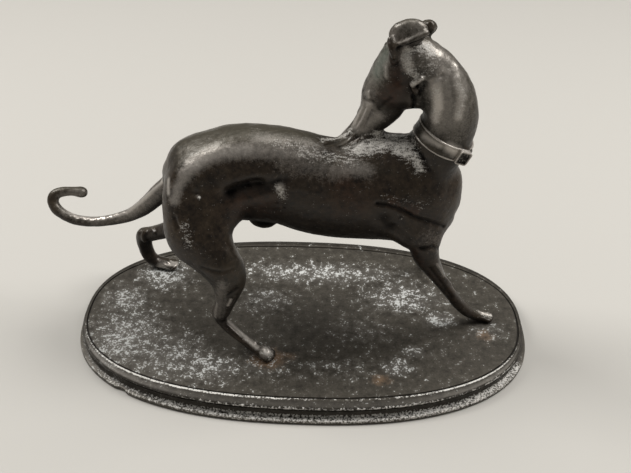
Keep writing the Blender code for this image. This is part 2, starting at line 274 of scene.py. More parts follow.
# White in the moulding, partly deposit and partly painted glint: on the foot band and the bead at the front
# and on the right, and a painted highlight as a thin pale line along the lip
turns = np.degrees(np.arctan2(plate[:, 1] / half_width, plate[:, 0] / half_length))
deposit_and_glint = (1.2 * np.exp(-((turns + 98) / 26) ** 2) + 1.1 * np.exp(-((turns + 62) / 18) ** 2)
           + 1.3 * np.exp(-((turns + 32) / 14) ** 2) + 0.5 * np.exp(-((turns + 140) / 22) ** 2))
on_band = np.exp(-((plate[:, 2] - BAND_HEIGHT) / 0.0013) ** 2)
on_bead = 0.7 * np.exp(-((plate[:, 2] - 0.0080) / 0.0009) ** 2)
deposit_and_glint *= on_band + on_bead
deposit_and_glint *= ((np.abs(plate[:, 0]) / inner_length) ** BASE_ROUNDNESS
            + (np.abs(plate[:, 1]) / inner_width) ** BASE_ROUNDNESS > 1)
deposit_and_glint = np.minimum(deposit_and_glint, 0.82)
# Painted highlight: a thin pale line along the whole lip, stronger at the front
on_lip = np.exp(-((turns + 125) / 40) ** 2) + 0.8 * np.exp(-((turns + 40) / 25) ** 2) + 0.2
deposit_and_glint = np.where((ring_numbers >= LIP_RINGS[0]) & (ring_numbers <= LIP_RINGS[1]), on_lip, deposit_and_glint)
keep_mask(base.data, "deposit_and_glint", deposit_and_glint)

# Ochre stain round the near hind paw, and two red-brown stains at the right
STAINS = [(-14, -31, 9, 7, 0.9), (-6, -28, 7, 5, 0.5), (90, -10, 5, 5, 0.6), (39, -42, 6, 4, 0.6)]
stain = np.zeros(len(plate))
for x, y, rx, ry, strength in STAINS:
    gap = ((plate[:, 0] * 1000 - x) / rx) ** 2 + ((plate[:, 1] * 1000 - y) / ry) ** 2
    stain = np.maximum(stain, strength * np.exp(-gap))
keep_mask(base.data, "stain", stain)

# Darker in the moulding: near black in the line let in, less dark in the hollow, under the bead and on the
# margin
MOULDING_DARKENING = [(*HOLLOW_RINGS, 0.6), (*UNDER_BEAD_RINGS, 0.4), (*MARGIN_RINGS, 0.5), (*LINE_RINGS, 1.0)]
moulding_darkening = np.zeros(len(plate))
for first, last, strength in MOULDING_DARKENING:
    moulding_darkening[(ring_numbers >= first) & (ring_numbers <= last)] = strength
keep_mask(base.data, "moulding_darkening", moulding_darkening)
base.data.shade_smooth()
base.data.set_sharp_from_angle(angle=math.radians(40))

# Bronze with a worn brown patina: it looks dull grey-brown and grainy, with pale specks half a
# millimetre across where it has oxidised, and the metal only shows as a soft sheen.
CLUMP = 0.0045
SPECK = 0.0009
GRIT = 0.0005
worn, tree, shader = new_material("worn brown bronze patina with oxidation")
where = add_node(tree, "ShaderNodeTexCoord", {})
mottle = add_node(tree, "ShaderNodeTexNoise", {"Scale": 1 / CLUMP, "Detail": 3.0, "Roughness": 0.6},
                  [(where, "Object", "Vector")])
speck = add_node(tree, "ShaderNodeTexNoise", {"Scale": 1 / SPECK, "Detail": 2.0, "Roughness": 0.6},
                 [(where, "Object", "Vector")])
grit = add_node(tree, "ShaderNodeTexNoise", {"Scale": 1 / GRIT, "Detail": 1.0, "Roughness": 0.6},
                [(where, "Object", "Vector")])
ground = add_node(tree, "ShaderNodeMath", {"operation": "MULTIPLY_ADD", 1: 0.5},
                  [(speck, 0, 0), (mottle, 0, 2)])
grain_mix = add_node(tree, "ShaderNodeMapRange", {1: 0.5, 2: 1.0, 3: 0.0, 4: 1.0}, [(ground, 0, 0)])
brown = add_node(tree, "ShaderNodeMix", {"data_type": "RGBA", 6: linear("#37332d"), 7: linear("#5b564d")},
                 [(grain_mix, 0, 0)])
oxide_read = add_node(tree, "ShaderNodeAttribute", {"attribute_name": "oxide"})
film_sum = add_node(tree, "ShaderNodeMath", {"operation": "ADD"}, [(oxide_read, "Fac", 0), (mottle, 0, 1)])
film_show = add_node(tree, "ShaderNodeMapRange", {1: 0.8, 2: 1.5, 3: 0.0, 4: 0.75}, [(film_sum, 0, 0)])
filmed = add_node(tree, "ShaderNodeMix", {"data_type": "RGBA", 7: linear("#7b7771")},
                  [(film_show, 0, 0), (brown, 2, 6)])
stain_read = add_node(tree, "ShaderNodeAttribute", {"attribute_name": "stain"})
stain_sum = add_node(tree, "ShaderNodeMath", {"operation": "ADD"}, [(stain_read, "Fac", 0), (mottle, 0, 1)])
stain_patch = add_node(tree, "ShaderNodeMapRange", {1: 0.75, 2: 1.4, 3: 0.0, 4: 0.85}, [(stain_sum, 0, 0)])
stained = add_node(tree, "ShaderNodeMix", {"data_type": "RGBA", 7: linear("#94765a")},
                   [(stain_patch, 0, 0), (filmed, 2, 6)])
speck_sum = add_node(tree, "ShaderNodeMath", {"operation": "MULTIPLY_ADD", 1: 0.85},
                     [(mottle, 0, 0), (speck, 0, 2)])
speck_lift = add_node(tree, "ShaderNodeMath", {"operation": "MULTIPLY_ADD", 1: 0.34},
                      [(oxide_read, "Fac", 0), (speck_sum, 0, 2)])
speck_show = add_node(tree, "ShaderNodeMapRange", {1: 1.20, 2: 1.32, 3: 0.0, 4: 0.9}, [(speck_lift, 0, 0)])
pale = add_node(tree, "ShaderNodeMix", {"data_type": "RGBA", 7: linear("#c2c3c0")},
                [(speck_show, 0, 0), (stained, 2, 6)])
moulding_darkening_read = add_node(tree, "ShaderNodeAttribute", {"attribute_name": "moulding_darkening"})
moulding_darkened = add_node(tree, "ShaderNodeMix", {"data_type": "RGBA", 7: linear("#1d1915")},
                  [(moulding_darkening_read, "Fac", 0), (pale, 2, 6)])
deposit_and_glint_read = add_node(tree, "ShaderNodeAttribute", {"attribute_name": "deposit_and_glint"})
deposit_and_glint_sum = add_node(tree, "ShaderNodeMath", {"operation": "MULTIPLY_ADD", 1: 0.5},
                       [(deposit_and_glint_read, "Fac", 0), (speck, 0, 2)])
deposit_and_glint_show = add_node(tree, "ShaderNodeMapRange", {1: 0.82, 2: 0.98, 3: 0.0, 4: 0.9},
                        [(deposit_and_glint_sum, 0, 0)])
# White deposit, and painted glints on the moulding
white = add_node(tree, "ShaderNodeMix", {"data_type": "RGBA", 7: linear("#dad7d1")},
                 [(deposit_and_glint_show, 0, 0), (moulding_darkened, 2, 6)])
tree.links.new(white.outputs[2], shader.inputs["Base Color"])
cover = add_node(tree, "ShaderNodeMath", {"operation": "MAXIMUM"},
                 [(speck_show, 0, 0), (deposit_and_glint_show, 0, 1)])
metal = add_node(tree, "ShaderNodeMapRange", {1: 0.0, 2: 0.8, 3: 0.55, 4: 0.05}, [(cover, 0, 0)])
tree.links.new(metal.outputs[0], shader.inputs["Metallic"])
sheen = add_node(tree, "ShaderNodeMapRange", {1: 0.0, 2: 0.8, 3: 0.46, 4: 0.75}, [(cover, 0, 0)])
tree.links.new(sheen.outputs[0], shader.inputs["Roughness"])
relief = add_node(tree, "ShaderNodeBump", {"Strength": 0.5, "Distance": 0.00015}, [(speck, 0, "Height")])
fine = add_node(tree, "ShaderNodeBump", {"Strength": 0.25, "Distance": 0.00006},
                [(grit, 0, "Height"), (relief, 0, "Normal")])
tree.links.new(fine.outputs[0], shader.inputs["Normal"])
base.data.materials.clear()
base.data.materials.append(worn)
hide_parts("base")
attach(base, "root")


# The dog
# A whippet in dark patinated bronze, cast by lost wax in one piece with its collar, ears and
# tail, then chased by hand. Its paws are soldered to the base.

PAW_GAP = 0.0003
PAW_HEIGHT = 0.0030
PAW_BLEND = 0.0020
CAST_VOXEL = 0.00058
DOG_TRIANGLES = 182000

deselect()
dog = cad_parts["whippet"].copy()
dog.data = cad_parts["whippet"].data.copy()
dog.name = "cast_whippet"
bpy.context.scene.collection.objects.link(dog)
bpy.context.view_layer.objects.active = dog
dog.select_set(True)
bpy.ops.object.mode_set(mode="EDIT")
bpy.ops.mesh.select_all(action="SELECT")
bpy.ops.mesh.remove_doubles(threshold=0.000001)
bpy.ops.object.mode_set(mode="OBJECT")
rounder = dog.modifiers.new("rounder", "SUBSURF")
rounder.levels = 1
rounder.render_levels = 1
bpy.ops.object.modifier_apply(modifier=rounder.name)


def fuse(passes):
    """Fuse the dog's forms into one skin of small faces and soften it."""
    bpy.context.view_layer.objects.active = dog
    remesh = dog.modifiers.new("one skin", "REMESH")
    remesh.mode = "VOXEL"
    remesh.voxel_size = CAST_VOXEL
    bpy.ops.object.modifier_apply(modifier=remesh.name)
    smooth = dog.modifiers.new("smooth", "SMOOTH")
    smooth.factor = 0.5
    smooth.iterations = passes
    bpy.ops.object.modifier_apply(modifier=smooth.name)


fuse(8)


def read_skin():
    """Read the dog's skin afresh: its points, its normals and its search tree."""
    global skin, skin_normals, skin_tree, edge_ends
    skin = points_of(dog.data)
    flat = np.empty(len(skin) * 3)
    dog.data.vertices.foreach_get("normal", flat)
    skin_normals = flat.reshape(-1, 3)
    faces = [tuple(face.vertices) for face in dog.data.polygons]
    skin_tree = BVHTree.FromPolygons([tuple(point) for point in skin], faces)
    pairs = np.empty(len(dog.data.edges) * 2, dtype=np.int32)
    dog.data.edges.foreach_get("vertices", pairs)
    edge_ends = pairs.reshape(-1, 2).T


# Where a look past the dog is searched for its nearest point: from, to and step, in metres from
# the camera
DOG_DISTANCES = (0.30, 0.60, 0.004)


def seen(u, v):
    """The point of the skin behind a point of the photograph, or else nearest to it, and its normal."""
    ray = (CAMERA_AHEAD + CAMERA_RIGHT * (u - PHOTO_WIDTH / 2) / PHOTO_FOCAL
           + CAMERA_UP * (PHOTO_HEIGHT / 2 - v) / PHOTO_FOCAL).normalized()
    place, normal, _, _ = skin_tree.ray_cast(CAMERA_PLACE, ray)
    if place is None:
        distances = np.arange(*DOG_DISTANCES)
        beside = [skin_tree.find_nearest(CAMERA_PLACE + ray * distance) for distance in distances]
        place, normal, _, _ = min(beside, key=lambda found: found[3])
    return np.array(place), np.array(normal)


def touched(point):
    """A point of the skin: given as seen in the photograph, or in millimetres."""
    if len(point) == 2:
        return seen(*point)
    place, normal, _, _ = skin_tree.find_nearest(Vector(point) / 1000)
    return np.array(place), np.array(normal)


def roll(stops, sunk):
    """A roll of wax on the skin: its places as seen in the photograph, and its radii in millimetres."""
    curve = bpy.data.curves.new("roll", "CURVE")
    curve.dimensions = "3D"
    curve.bevel_depth = 1.0
    curve.bevel_resolution = 4
    curve.use_fill_caps = True
    line = curve.splines.new("NURBS")
    line.points.add(len(stops) - 1)
    line.use_endpoint_u = True
    line.order_u = 3
    for spot, (u, v, radius) in zip(line.points, stops):
        place, normal = seen(u, v)
        place = place + normal * radius / 1000 * (1 - 2 * sunk)
        spot.co = (*place, 1)
        spot.radius = radius / 1000
    made = bpy.data.objects.new("roll", curve)
    bpy.context.scene.collection.objects.link(made)
    deselect()
    made.select_set(True)
    bpy.context.view_layer.objects.active = made
    bpy.ops.object.convert(target="MESH")
    return made


def join_to_dog(things):
    """Join pieces to the dog's mesh."""
    deselect()
    for thing in things:
        thing.select_set(True)
    dog.select_set(True)
    bpy.context.view_layer.objects.active = dog
    bpy.ops.object.join()


read_skin()
ROLLS = [
    # The rolled edge and the lobe of the near ear
    ([(396, 45.5, 1.0), (403, 42.5, 1.2), (411, 39, 1.3), (419, 35.5, 1.3), (427.5, 31.5, 1.2)], 0.3),
    ([(391.5, 37, 1.6), (392.6, 45, 1.9), (393.4, 52, 1.6), (394, 58.5, 0.9)], 0.4),
    # The fold and the knob of the throat
    ([(411.5, 85, 1.3), (417, 80.5, 1.6), (423, 77, 1.2)], 0.45),
    ([(415.5, 86.5, 1.7), (416.5, 90, 1.7), (417, 92.5, 1.2)], 0.35),
    # The rim of the far ear
    ([(429, 21.5, 1.3), (434, 26, 1.4), (431, 31, 1.2)], 0.5),
    # The far hock
    ([(146, 231, 1.2), (141, 236, 1.3), (146, 241, 1.1)], 0.4),
    ([(152, 229, 0.9), (156, 233, 0.9)], 0.3),
    # The tendon of the near hind leg
    ([(229, 319.5, 0.9), (243, 332, 0.8), (256, 343.5, 0.8)], 0.4)
]
rolls = [roll(stops, sunk) for stops, sunk in ROLLS]
join_to_dog(rolls)
fuse(2)

# The collar: a flat band with a raised edge on each side, and a square lock at the front
COLLAR_MIDDLE = Vector((0.0614, 0.0020, 0.1144))
COLLAR_LEAN = 26
COLLAR_DEEP = 0.0127
COLLAR_WIDE = 0.0116
COLLAR_WIDTH = 0.0068
RIDGE = 0.0005
LOCK_TURN = 138
LOCK_SWIVEL = 24
LOCK_SIZE = (0.0042, 0.0060, 0.0066)
LOCK_CORNER = 0.0011
LOCK_RIM = 0.0009
collar_turn = Matrix.Translation(COLLAR_MIDDLE) @ Matrix.Rotation(math.radians(COLLAR_LEAN), 4, "Y")
extras = []
for side in (-1, 1):
    deselect()
    bpy.ops.mesh.primitive_torus_add(major_segments=160, minor_segments=12, major_radius=COLLAR_WIDE,
                                     minor_radius=RIDGE, location=(0, 0, side * (COLLAR_WIDTH / 2 - RIDGE)))
    ring = bpy.context.active_object
    bpy.ops.object.transform_apply(location=True, rotation=True, scale=True)
    bpy.ops.object.mode_set(mode="EDIT")
    bpy.ops.mesh.select_all(action="SELECT")
    bpy.ops.transform.resize(value=(COLLAR_DEEP / COLLAR_WIDE, 1, 1))
    bpy.ops.object.mode_set(mode="OBJECT")
    ring.data.transform(collar_turn)
    extras.append(ring)
deselect()
bpy.ops.mesh.primitive_cube_add(size=1, location=(0, 0, 0))
lock = bpy.context.active_object
bpy.ops.object.mode_set(mode="EDIT")
bpy.ops.mesh.select_all(action="SELECT")
bpy.ops.transform.resize(value=LOCK_SIZE)
bpy.ops.mesh.select_all(action="DESELECT")
bpy.ops.mesh.select_mode(type="EDGE")
shape = bmesh.from_edit_mesh(lock.data)
for edge in shape.edges:
    run = edge.verts[1].co - edge.verts[0].co
    edge.select_set(abs(run.x) > 0.9 * run.length)
bmesh.update_edit_mesh(lock.data)
bpy.ops.mesh.bevel(offset=LOCK_CORNER, segments=4, affect="EDGES")
bpy.ops.mesh.select_all(action="DESELECT")
bpy.ops.mesh.select_mode(type="FACE")
shape = bmesh.from_edit_mesh(lock.data)
for face in shape.faces:
    face.select_set(face.normal.x > 0.9)
bmesh.update_edit_mesh(lock.data)
bpy.ops.mesh.inset(thickness=LOCK_RIM, depth=0)
bpy.ops.mesh.inset(thickness=LOCK_RIM * 0.3, depth=-LOCK_RIM * 0.7)
bpy.ops.object.mode_set(mode="OBJECT")
rounded = lock.modifiers.new("rounded", "BEVEL")
rounded.width = 0.0002
rounded.segments = 3
deselect()
lock.select_set(True)
bpy.context.view_layer.objects.active = lock
bpy.ops.object.modifier_apply(modifier=rounded.name)
front = math.radians(LOCK_TURN - 90)
lock_turn = (collar_turn @ Matrix.Rotation(-front, 4, "Z")
             @ Matrix.Translation((COLLAR_DEEP * 0.985, 0, 0))
             @ Matrix.Rotation(-math.radians(LOCK_SWIVEL), 4, "Z"))
lock.data.transform(lock_turn)
extras.append(lock)


def write_skin():
    """Put the worked points back into the dog."""
    dog.data.vertices.foreach_set("co", skin.ravel())
    dog.data.update()


def stroke(points, reach, edge=2.0):
    """How strongly a stroke of the tool acts on each point of the skin, from 0 to 1."""
    reach = reach / 1000
    stops = [touched(point) for point in points]
    if len(stops) == 1:
        stops = stops * 2
    weight = np.zeros(len(skin))
    for (a, normal_a), (b, normal_b) in zip(stops, stops[1:]):
        low = np.minimum(a, b) - 3 * reach
        high = np.maximum(a, b) + 3 * reach
        near = np.nonzero(np.all((skin > low) & (skin < high), axis=1))[0]
        run = b - a
        length = max(float(run @ run), 1e-12)
        share = np.clip((skin[near] - a) @ run / length, 0, 1)
        gap = np.linalg.norm(skin[near] - a - share[:, None] * run, axis=1)
        facing = np.clip(skin_normals[near] @ (normal_a + normal_b) + 0.4, 0, 1)
        weight[near] = np.maximum(weight[near], np.exp(-(gap / reach) ** edge) * facing)
    return weight


def evened(values, ends, size):
    """Each point's value replaced by the middle of its neighbours' values, for one or more columns."""
    a, b = ends
    count = np.maximum(np.bincount(a, minlength=size) + np.bincount(b, minlength=size), 1)
    total = [np.bincount(a, column[b], size) + np.bincount(b, column[a], size) for column in values.T]
    return np.stack(total, axis=1) / count[:, None]


# The middle of the body, where the folds of one side are repeated on the other
MIDDLE_PLANE = 0.0015


def both(points):
    """A stroke on the near side, and its like on the far side."""
    places = [touched(point)[0] for point in points]
    return points, [(p[0] * 1000, (2 * MIDDLE_PLANE - p[1]) * 1000, p[2] * 1000) for p in places]


def soften(points, reach, passes):
    """Rub the skin smooth along a stroke, and keep its fullness."""
    weight = stroke(points, reach, 4.0)
    rubbed = weight > 0.01
    ends = edge_ends[:, rubbed[edge_ends[0]] | rubbed[edge_ends[1]]]
    spots, ends = np.unique(ends, return_inverse=True)
    ends = ends.reshape(2, -1)
    share = np.where(rubbed, weight, 0)[spots][:, None]
    place = skin[spots]
    for _ in range(passes):
        place = place + (evened(place, ends, len(spots)) - place) * share
    lost = ((skin[spots] - place) * skin_normals[spots]).sum(axis=1, keepdims=True)
    place = place + skin_normals[spots] * share * (lost * share).sum() / share.sum()
    skin[spots] = place


def press(points, reach, depth):
    """Press a stroke into the skin, or raise it where the depth is negative, in millimetres."""
    global skin
    skin = skin - skin_normals * (stroke(points, reach) * depth / 1000)[:, None]


read_skin()

# The joins of the forms are rubbed smooth first. Each stroke of the tool below has its places, as
# seen in the photograph, its reach in millimetres, and its passes or its depth in millimetres.
JOINS = [
    # The rump and the loin
    ([(168, 205), (166, 180), (172, 156), (186, 143)], 9.0, 160),
    ([(200, 140), (225, 132), (245, 134), (268, 134)], 9.0, 160),
    # The withers and the shoulder
    ([(355, 152), (375, 150), (395, 148)], 8.0, 60),
    ([(405, 160), (412, 185), (440, 175), (455, 190)], 8.0, 60),
    # The sleeve of the foreleg and the thigh
    ([(385, 233), (405, 232), (425, 234), (445, 236)], 8.0, 120),
    ([(222, 205), (232, 214), (236, 226), (236, 240)], 7.0, 120)
]
for joint, reach, passes in JOINS:
    for side in both(joint):
        soften(side, reach, passes)

# The haunch: a rounded shelf over the thigh, the hollow of the flank and its folds
HAUNCH = [
    # The shelf over the thigh, and the hollow above it
    ([(171, 199), (176, 184), (187, 170), (203, 160), (222, 153)], 6.5, -0.8),
    ([(222, 153), (242, 148), (276, 149)], 5.5, -0.5),
    ([(163, 186), (171, 164), (185, 149), (205, 139)], 5.0, 0.5),
    # The hollow of the flank, its fold and the swells on both sides
    ([(229, 193), (236, 188.5), (246, 185.5), (258, 183.5)], 3.0, 1.9),
    ([(230, 192), (237, 187.5), (246, 184.6), (256, 182.8)], 1.3, 1.1),
    ([(252, 186), (271, 182), (288, 179.5)], 2.6, 0.8),
    ([(232, 181.5), (248, 177.5), (268, 174)], 4.0, -0.7),
    ([(240, 200), (262, 197), (280, 191)], 5.0, -0.6),
    # The thigh
    ([(226, 212), (216, 234), (208, 255)], 6.0, 0.4)
]
for line, reach, depth in HAUNCH:
    for side in both(line):
        press(side, reach, depth)
press([(196, 193.5)], 1.5, 0.9)
press([(199, 197.8)], 1.2, -0.3)
press([(175.5, 217), (176.5, 222), (178.5, 228)], 0.9, 0.6)

# Pits of the casting in the flank and the thigh
PITS = [(275, 189), (279, 195), (283, 190), (277, 203), (284, 208), (186, 228), (190, 236),
        (184, 243), (193, 230), (196, 246)]
for u, v in PITS:
    press([(u, v)], 0.7, 0.35)

# The chest and the sleeve of the near foreleg
CHEST = [
    # The crease, deepest in its middle, and the swell above it
    ([(377, 203.4), (387, 204.4), (398, 208.2), (405, 211.6), (412.5, 215.8), (428, 221),
      (436, 223.6), (444, 226.8)], 0.9, 0.85),
    ([(400, 209.2), (405, 211.6), (411, 215)], 1.0, 0.4),
    ([(384, 199), (400, 203), (415, 210)], 3.0, -0.5),
    # The soft hollow behind the elbow
    ([(384, 219), (388, 226)], 4.0, 0.9),
    ([(393, 227), (401, 234), (409, 241)], 1.8, 0.6),
    # The fold of the sleeve
    ([(420, 249.5), (432, 247), (442, 249.5)], 0.9, 0.9),
    # The ribs
    ([(300, 205), (345, 214), (385, 214)], 6.0, -0.4)
]
for line, reach, depth in CHEST:
    for side in both(line):
        press(side, reach, depth)
press([(400.8, 217.2)], 0.8, 0.6)

# The shoulder blade and the withers
for side in both([(332, 170), (348, 168), (364, 171)]):
    press(side, 6.0, -0.5)
for side in both([(374, 172), (384, 192)]):
    press(side, 5.0, 0.4)
for side in both([(398, 165), (403, 190)]):
    press(side, 6.0, -0.35)
press([(407.5, 132), (411.6, 143), (418.8, 152.5), (424, 160), (429, 170)], 1.4, 1.0)

# Folds of the skin that the muzzle nips
FOLDS = [
    [(349, 127), (334, 134), (318, 137)],
    [(350, 127), (337, 137), (320, 141)],
    [(357, 130), (343, 139.5), (326, 145)],
    [(364, 133), (352, 141.5), (340, 147)],
    [(373, 135), (364, 141), (352, 149)],
    [(384, 136), (374, 141), (364, 147)],
    [(396, 137), (386, 141), (376, 146)],
    [(360, 108), (354, 118), (349, 126)],
    [(365, 108), (360, 119), (355, 127)],
    [(371, 110), (367, 120), (363, 129)]
]
for fold in FOLDS:
    press(fold, 0.6, 0.5)

# The neck: two long muscles, the fold at the throat and its knob
press([(448.8, 68), (453, 103), (444, 134)], 2.8, 0.9)
press([(434.3, 82), (435.4, 108), (433.3, 121)], 2.6, -0.6)
press([(458, 78), (463.3, 98), (458, 118.5)], 2.6, -0.5)
press([(424, 86.4), (433.3, 80.2), (442, 75.5)], 0.9, 0.7)
press([(424.5, 83), (422, 89), (418, 95)], 0.9, 0.8)
press([(413.5, 96), (414.5, 102), (412.5, 109)], 1.0, 1.3)
press([(417.8, 86.4)], 0.7, 0.7)
press([(412.6, 67), (423, 70)], 1.8, 0.6)
press([(405, 60), (410, 72)], 3.0, -0.4)

# The head: brow, eye, cheek and mouth
press([(391, 98.3), (385.8, 102), (380, 108), (378, 114)], 0.8, 0.4)
press([(388, 64), (387.5, 76)], 1.4, -0.5)
press([(397, 66), (398, 80)], 1.6, 0.4)
press([(396, 86)], 4.0, -0.4)
press([(368.4, 93.5), (368.6, 97.5)], 1.0, -0.5)
press([(364.5, 99.5), (367, 102), (370, 102.6), (373, 101.4)], 0.7, 0.5)
press([(363, 90.5), (368, 88), (374, 91)], 0.8, 0.4)
press([(384, 43), (386, 46)], 0.8, -0.4)

# Under the ears
press([(399, 47.5), (406, 45.5), (413, 42.5), (421, 39)], 1.0, 1.0)

# The near hind leg: fold behind the knee, tendons and the ridge of the shank
press([(202, 267.7), (212.7, 270.3), (219, 271.7)], 1.0, 0.45)
press([(222, 272), (232, 269)], 0.9, 0.3)
press([(223.5, 292), (223.5, 303), (221.5, 317)], 1.0, 0.5)
press([(217, 296), (215, 312)], 1.0, -0.4)
press([(235, 296), (230.5, 305)], 0.8, -0.6)
press([(236, 289), (228, 295)], 1.2, 0.6)

# The near foreleg
press([(437, 264), (444, 276), (451, 284)], 0.8, -0.4)
press([(430, 268), (442, 284), (452, 298)], 1.0, 0.5)

# The tail, chased along its upper side
press([(162, 181), (151, 192.5), (140, 202), (128, 211)], 0.9, -0.4)
KNUCKLES = [(124, 212.6), (117, 214), (110, 216.5), (103, 217), (96, 219), (89, 218.6),
            (82, 217.5), (75, 214.6)]
for u, v in KNUCKLES:
    press([(u, v), (u - 3, v + 1.5)], 0.7, -0.35)

# The toes: furrows between them
TOES = [
    [(264, 345), (266, 351)],
    [(268, 343), (271, 350)],
    [(273, 345), (275, 351)],
    [(480, 310.5), (490, 313)],
    [(481, 313.5), (491, 316)],
    [(482, 316.5), (490, 319)],
    [(170, 261), (179, 266)],
    [(166, 263.5), (176, 268.5)]
]
for toe in TOES:
    press(toe, 0.6, 0.5)

# Fine unevenness of the cast skin
PIT = 0.0021
PIT_DEPTH = 0.00005
LUMP = 0.0058
LUMP_DEPTH = 0.00012
NECK_LUMP_DEPTH = 0.00008
uneven = np.array([noise.fractal(Vector(point) / PIT, 0.6, 2.0, 3) for point in skin])
chased = np.array([noise.fractal(Vector(point) / LUMP, 0.5, 2.0, 2) for point in skin])
chased *= LUMP_DEPTH + NECK_LUMP_DEPTH * np.clip((skin[:, 2] - 0.110) / 0.010, 0, 1)
skin = skin + skin_normals * (uneven * PIT_DEPTH + chased)[:, None]

# The paws rest on the base, where they are soldered
skin[:, 2] -= PAW_GAP * np.clip((BASE_HEIGHT + PAW_HEIGHT - skin[:, 2]) / PAW_BLEND, 0, 1)
write_skin()
fewer = dog.modifiers.new("fewer faces", "DECIMATE")
fewer.ratio = DOG_TRIANGLES / (2 * len(dog.data.polygons))
bpy.context.view_layer.objects.active = dog
bpy.ops.object.modifier_apply(modifier=fewer.name)
cast_points = len(dog.data.vertices)
join_to_dog(extras)
read_skin()
dog.data.shade_smooth()


def bend_of_skin(passes):
    """How hollow the skin is at each point, in millimetres; it is below 0 where the skin is proud."""
    softened = skin
    for _ in range(passes):
        softened = evened(softened, edge_ends, len(skin))
    return ((softened - skin) * skin_normals).sum(axis=1) * 1000


def painted(strokes):
    """The strongest of several strokes at each point of the skin: points, reach and strength."""
    total = np.zeros(len(skin))
    for points, reach, strength in strokes:
        total = np.maximum(total, stroke(points, reach) * strength)
    return total


SKY_EVERY = 5
SKY_START = 0.0008


def open_sky():
    """How much of the sky each point of the skin sees, from 0 to 1, measured at some and spread."""
    rays = [Vector((0, 0, 1))]
    for height, count in ((60, 5), (32, 8)):
        level = math.cos(math.radians(height))
        for step in range(count):
            turn = 2 * math.pi * step / count
            rays.append(Vector((math.cos(turn) * level, math.sin(turn) * level,
                                math.sin(math.radians(height)))))
    directions = np.array(rays)
    full = np.clip(directions[:, 2], 0, 1).sum()
    light = np.clip(skin_normals @ directions.T, 0, 1)
    known = np.zeros(len(skin))
    total = np.zeros(len(skin))
    for i in range(0, len(skin), SKY_EVERY):
        start = Vector(skin[i] + skin_normals[i] * SKY_START)
        for ray, share in zip(rays, light[i]):
            if share > 0 and skin_tree.ray_cast(start, ray)[0] is None:
                total[i] += share / full
        known[i] = 1
    columns = np.stack([total, known], axis=1)
    for _ in range(6):
        columns = evened(columns, edge_ends, len(skin))
    return columns[:, 0] / np.maximum(columns[:, 1], 0.001)


# Pale dust lies where the photograph shows it, and some strokes of it are painted highlights. Each stroke
# of dust, and of the other finishes, has its places, its reach in millimetres and its strength.
DUST_AND_HIGHLIGHTS = [
    # The withers
    ([(356, 150), (372, 146), (392, 142), (408, 146)], 4.6, 1.0),
    ([(395, 150), (415, 158), (420, 168)], 3.0, 0.9),
    # The back
    ([(300, 152), (330, 157), (352, 160)], 3.4, 0.6),
    ([(270, 142), (300, 147)], 4.0, 0.35),
    # The side of the head and the throat
    ([(410, 50), (405.5, 57), (410, 69), (416, 77)], 2.2, 0.95),
    ([(415, 50), (428, 46), (432, 55)], 2.8, 0.8),
    ([(432, 55), (430, 68)], 4.0, 0.5),
    ([(412, 84), (423, 77)], 1.4, 0.8),
    # The neck: pale specks painted as highlights
    ([(436, 90), (437.5, 104), (434.5, 120)], 2.2, 0.6),
    ([(457, 80), (461.5, 98), (458, 116)], 2.0, 0.6),
    # The nipped skin, and the back under the collar
    ([(350, 131), (340, 137), (322, 140)], 2.0, 0.8),
    ([(375, 133), (395, 136), (410, 133)], 1.8, 0.95),
    # The flank, the thigh and the chest: the dabs on the flank's pits, on the thigh's dimple and on the
    # chest's pit are painted highlights
    ([(278, 188), (283, 196)], 2.2, 0.75),
    ([(184, 226), (188, 243)], 2.8, 0.55),
    ([(199, 197.5)], 1.0, 0.8),
    ([(400.8, 219)], 0.8, 0.8),
    ([(388, 198), (425, 206)], 3.0, 0.28),
    # The paws, where the pale on the toes is partly painted highlight
    ([(268, 352)], 4.0, 0.7),
    ([(479, 312), (491, 315)], 2.4, 0.5),
    ([(165, 268), (178, 266)], 2.4, 0.8)
]
dust_and_highlights = painted(DUST_AND_HIGHLIGHTS)
COLLAR_DUST = 0.3
dust_and_highlights[cast_points:] = COLLAR_DUST
keep_mask(dog.data, "dust_and_highlights", dust_and_highlights)
